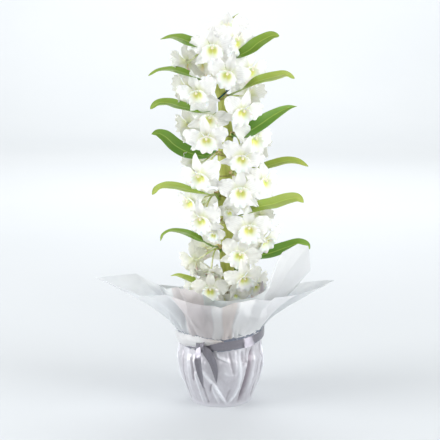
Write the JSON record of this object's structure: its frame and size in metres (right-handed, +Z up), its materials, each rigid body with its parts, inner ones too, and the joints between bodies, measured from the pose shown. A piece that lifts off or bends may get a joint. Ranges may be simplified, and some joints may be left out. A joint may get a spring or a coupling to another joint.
{
  "type": "potted dendrobium orchid",
  "caption": "Potted orchid: an upright jointed cane with strap leaves and short sprays of white flowers, its pot in a pleated sleeve under flaring film tied with a satin ribbon.",
  "frame": {"origin": "centre of the sleeve's flat bottom, on the surface that the pot stands on", "axes": "+Z up along the plant; -Y towards the front, where the ribbon's knot is; +X to the right seen from the front"},
  "size_m": [0.3504, 0.1854, 0.5535],
  "materials": {
    "cane": "smooth waxy green stem with thin tan joint rings",
    "leaf": "satin green leaf",
    "flower": "soft white petals with a pale yellow-green throat",
    "pot": "matt moulded plastic",
    "bark": "rough bark chips",
    "stake": "green stained bamboo",
    "tie": "dark coated wire",
    "paper": "crinkled pearly silver paper",
    "film": "frosted translucent film",
    "ribbon": "grey satin"
  },
  "bodies": {
    "root": {"bark_mix": "bark", "cane": "cane", "film_inner": "film", "film_outer": "film", "leaf_1": "leaf", "leaf_10": "leaf", "leaf_11": "leaf", "leaf_12": "leaf", "leaf_13": "leaf", "leaf_14": "leaf", "leaf_2": "leaf", "leaf_3": "leaf", "leaf_4": "leaf", "leaf_5": "leaf", "leaf_6": "leaf", "leaf_7": "leaf", "leaf_8": "leaf", "leaf_9": "leaf", "nursery_pot": "pot", "paper_sleeve": "paper", "raceme_0": "flower", "raceme_1": "flower", "raceme_10": "flower", "raceme_10_rear": "flower", "raceme_11": "flower", "raceme_11_rear": "flower", "raceme_12": "flower", "raceme_13": "flower", "raceme_13_rear": "flower", "raceme_14": "flower", "raceme_14_rear": "flower", "raceme_1_rear": "flower", "raceme_2": "flower", "raceme_3": "flower", "raceme_3_front": "flower", "raceme_3_rear": "flower", "raceme_4": "flower", "raceme_4_front": "flower", "raceme_4_rear": "flower", "raceme_5": "flower", "raceme_5_front": "flower", "raceme_5_rear": "flower", "raceme_6": "flower", "raceme_6_rear": "flower", "raceme_7": "flower", "raceme_7_rear": "flower", "raceme_8": "flower", "raceme_8_rear": "flower", "raceme_9": "flower", "raceme_9_rear": "flower", "ribbon_band": "ribbon", "ribbon_knot": "ribbon", "stake": "stake", "tie": "tie"}
  },
  "joints": []
}
